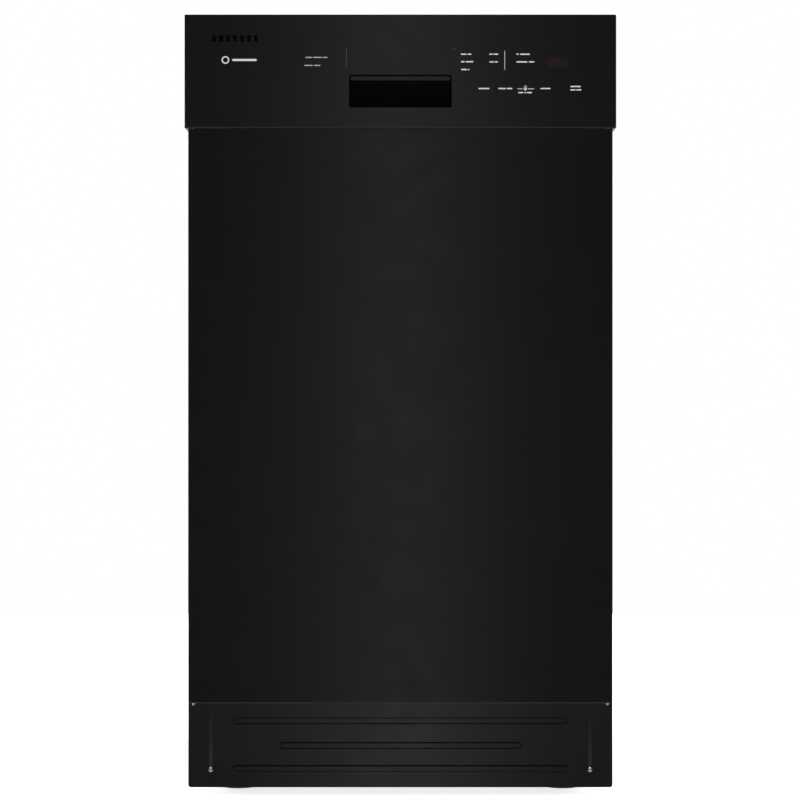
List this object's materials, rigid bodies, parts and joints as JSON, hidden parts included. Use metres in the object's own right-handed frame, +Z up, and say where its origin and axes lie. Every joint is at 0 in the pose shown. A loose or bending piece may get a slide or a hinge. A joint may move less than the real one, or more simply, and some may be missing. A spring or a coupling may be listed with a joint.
{
  "type": "built-in dishwasher",
  "caption": "Narrow black built-in dishwasher with a drop-down door, recessed handle, wheeled lower rack, railed upper rack and turning spray arms.",
  "frame": {"origin": "on the floor, under the middle of the machine's width and depth", "axes": "+X to the right of someone facing the door, -Y out of the front, +Z up; door shut, racks in, feet wound up"},
  "size_m": [0.448, 0.622, 0.812],
  "materials": {
    "black_enamel": "smooth low-gloss black enamel on sheet steel",
    "console_black": "moulded black plastic, satin gloss",
    "stainless": "brushed stainless sheet",
    "galvanised": "zinc-coated sheet steel and wire",
    "grey_plastic": "moulded grey polypropylene",
    "dark_plastic": "moulded black plastic",
    "white_plastic": "moulded off-white plastic",
    "rack_vinyl": "wire coated in grey nylon",
    "rubber": "soft black seal rubber",
    "felt": "dark felted sound-deadening blanket",
    "display_glass": "dark tinted display window, unlit",
    "circuit_board": "printed circuit board with components",
    "steel": "bright zinc-plated steel",
    "heater_steel": "heat-darkened alloy sheath"
  },
  "bodies": {
    "cabinet": {"tub_wrapper": "stainless", "tub_rear": "stainless", "tub_floor": "stainless", "sound_blanket": "felt", "base_frame": "galvanised", "hinge_bracket_left": "galvanised", "hinge_bracket_right": "galvanised", "strike_plate": "steel", "counter_bracket_left": "galvanised", "counter_bracket_right": "galvanised", "door_gasket": "rubber", "sump_housing": "dark_plastic", "filter_plate": "stainless", "wash_pump": "dark_plastic", "drain_pump": "dark_plastic", "inlet_valve": "white_plastic", "heating_element": "heater_steel", "feed_pipe": "grey_plastic", "junction_box": "galvanised", "kick_screw_left": "steel", "kick_screw_right": "steel", "door_spring_left": "galvanised", "door_spring_right": "galvanised"},
    "door": {"door_outer_panel": "black_enamel", "door_inner_panel": "stainless", "console_fascia": "console_black", "control_board": "circuit_board", "handle_pocket": "dark_plastic", "display_lens": "display_glass", "door_latch": "dark_plastic", "hinge_arm_left": "galvanised", "hinge_arm_right": "galvanised", "dispenser_body": "grey_plastic", "door_vent": "grey_plastic", "door_bottom_seal": "rubber"},
    "latch_lever": {"latch_lever": "console_black"},
    "dispenser_lid": {"dispenser_lid": "white_plastic"},
    "rinse_aid_cap": {"rinse_aid_cap": "dark_plastic"},
    "kick_plate": {"kick_plate": "black_enamel"},
    "foot_front_left": {"foot_front_left": "dark_plastic"},
    "foot_front_right": {"foot_front_right": "dark_plastic"},
    "foot_rear_left": {"foot_rear_left": "dark_plastic"},
    "foot_rear_right": {"foot_rear_right": "dark_plastic"},
    "lower_rack": {"lower_rack": "rack_vinyl", "silverware_basket": "grey_plastic"},
    "rack_wheel_front_left": {"rack_wheel_front_left": "grey_plastic"},
    "rack_wheel_front_right": {"rack_wheel_front_right": "grey_plastic"},
    "rack_wheel_rear_left": {"rack_wheel_rear_left": "grey_plastic"},
    "rack_wheel_rear_right": {"rack_wheel_rear_right": "grey_plastic"},
    "rack_rails": {"rack_rail_left": "stainless", "rack_rail_right": "stainless"},
    "upper_rack": {"upper_rack": "rack_vinyl", "rack_manifold": "grey_plastic"},
    "upper_spray_arm": {"upper_spray_arm": "grey_plastic"},
    "cup_shelf": {"cup_shelf": "rack_vinyl"},
    "lower_spray_arm": {"lower_spray_arm": "grey_plastic"},
    "overfill_float": {"overfill_float": "grey_plastic"},
    "filter_cylinder": {"filter_cylinder": "grey_plastic"},
    "spring_link_left": {"spring_link_left": "dark_plastic"},
    "spring_link_right": {"spring_link_right": "dark_plastic"}
  },
  "joints": [
    {"name": "door_hinge", "type": "hinge", "parent": "cabinet", "child": "door", "pos_m": [0, -0.271, 0.1], "axis": [1, 0, 0], "range_deg": [0, 90], "stiffness_Nm_per_rad": 9},
    {"name": "lower_rack_slide", "type": "slide", "parent": "cabinet", "child": "lower_rack", "axis": [0, -1, 0], "range_m": [0, 0.1455]},
    {"name": "rack_rail_slide", "type": "slide", "parent": "cabinet", "child": "rack_rails", "axis": [0, -1, 0], "range_m": [0, 0.1755]},
    {"name": "upper_rack_slide", "type": "slide", "parent": "rack_rails", "child": "upper_rack", "axis": [0, -1, 0], "range_m": [0, 0.1755]},
    {"name": "latch_lever_pivot", "type": "hinge", "parent": "door", "child": "latch_lever", "pos_m": [0, -0.306, 0.758], "axis": [-1, 0, 0], "range_deg": [0, 10], "stiffness_Nm_per_rad": 0.5, "springref_deg": -5.73},
    {"name": "dispenser_lid_hinge", "type": "hinge", "parent": "door", "child": "dispenser_lid", "pos_m": [0.038, -0.246, 0.3895], "axis": [-1, 0, 0], "range_deg": [0, 100]},
    {"name": "rinse_cap_turn", "type": "hinge", "parent": "door", "child": "rinse_aid_cap", "pos_m": [0.113, -0.2486, 0.44], "axis": [0, 1, 0], "range_deg": [0, 90]},
    {"name": "kick_plate_slide", "type": "slide", "parent": "cabinet", "child": "kick_plate", "axis": [0, 0, -1], "range_m": [0, 0.048]},
    {"name": "lower_arm_spin", "type": "hinge", "parent": "cabinet", "child": "lower_spray_arm", "pos_m": [0, 0.021, 0.125], "axis": [0, 0, 1], "continuous": true},
    {"name": "upper_arm_spin", "type": "hinge", "parent": "upper_rack", "child": "upper_spray_arm", "pos_m": [0, 0.021, 0.4665], "axis": [0, 0, 1], "continuous": true},
    {"name": "cup_shelf_fold", "type": "hinge", "parent": "upper_rack", "child": "cup_shelf", "pos_m": [-0.178, -0.1, 0.6], "axis": [0, -1, 0], "range_deg": [0, 95]},
    {"name": "float_rise", "type": "slide", "parent": "cabinet", "child": "overfill_float", "axis": [0, 0, 1], "range_m": [0, 0.006]},
    {"name": "filter_twist", "type": "hinge", "parent": "cabinet", "child": "filter_cylinder", "pos_m": [0, -0.058, 0.112], "axis": [0, 0, 1], "range_deg": [0, 90]},
    {"name": "rack_wheel_front_left_spin", "type": "hinge", "parent": "lower_rack", "child": "rack_wheel_front_left", "pos_m": [-0.1945, -0.15, 0.1333], "axis": [1, 0, 0], "continuous": true},
    {"name": "foot_front_left_screw", "type": "slide", "parent": "cabinet", "child": "foot_front_left", "axis": [0, 0, -1], "range_m": [0, 0.045]},
    {"name": "rack_wheel_rear_left_spin", "type": "hinge", "parent": "lower_rack", "child": "rack_wheel_rear_left", "pos_m": [-0.1945, 0.203, 0.1333], "axis": [1, 0, 0], "continuous": true},
    {"name": "foot_rear_left_screw", "type": "slide", "parent": "cabinet", "child": "foot_rear_left", "axis": [0, 0, -1], "range_m": [0, 0.045]},
    {"name": "spring_pull_left", "type": "slide", "parent": "cabinet", "child": "spring_link_left", "axis": [0, -1, 0], "range_m": [0, 0.0401], "deforming": ["door_spring_left"]},
    {"name": "rack_wheel_front_right_spin", "type": "hinge", "parent": "lower_rack", "child": "rack_wheel_front_right", "pos_m": [0.1945, -0.15, 0.1333], "axis": [1, 0, 0], "continuous": true},
    {"name": "foot_front_right_screw", "type": "slide", "parent": "cabinet", "child": "foot_front_right", "axis": [0, 0, -1], "range_m": [0, 0.045]},
    {"name": "rack_wheel_rear_right_spin", "type": "hinge", "parent": "lower_rack", "child": "rack_wheel_rear_right", "pos_m": [0.1945, 0.203, 0.1333], "axis": [1, 0, 0], "continuous": true},
    {"name": "foot_rear_right_screw", "type": "slide", "parent": "cabinet", "child": "foot_rear_right", "axis": [0, 0, -1], "range_m": [0, 0.045]},
    {"name": "spring_pull_right", "type": "slide", "parent": "cabinet", "child": "spring_link_right", "axis": [0, -1, 0], "range_m": [0, 0.0401], "deforming": ["door_spring_right"]}
  ],
  "couplings": [
    {"joint": "lower_rack_slide", "follows": "door_hinge", "m_per_rad": 0.0923},
    {"joint": "rack_rail_slide", "follows": "door_hinge", "m_per_rad": 0.1114},
    {"joint": "upper_rack_slide", "follows": "door_hinge", "m_per_rad": 0.1114},
    {"joint": "rack_wheel_front_left_spin", "follows": "door_hinge", "ratio": 5.4294},
    {"joint": "rack_wheel_rear_left_spin", "follows": "door_hinge", "ratio": 5.4294},
    {"joint": "spring_pull_left", "follows": "door_hinge", "m_per_rad": 0.02546},
    {"joint": "rack_wheel_front_right_spin", "follows": "door_hinge", "ratio": 5.4294},
    {"joint": "rack_wheel_rear_right_spin", "follows": "door_hinge", "ratio": 5.4294},
    {"joint": "spring_pull_right", "follows": "door_hinge", "m_per_rad": 0.02546}
  ]
}
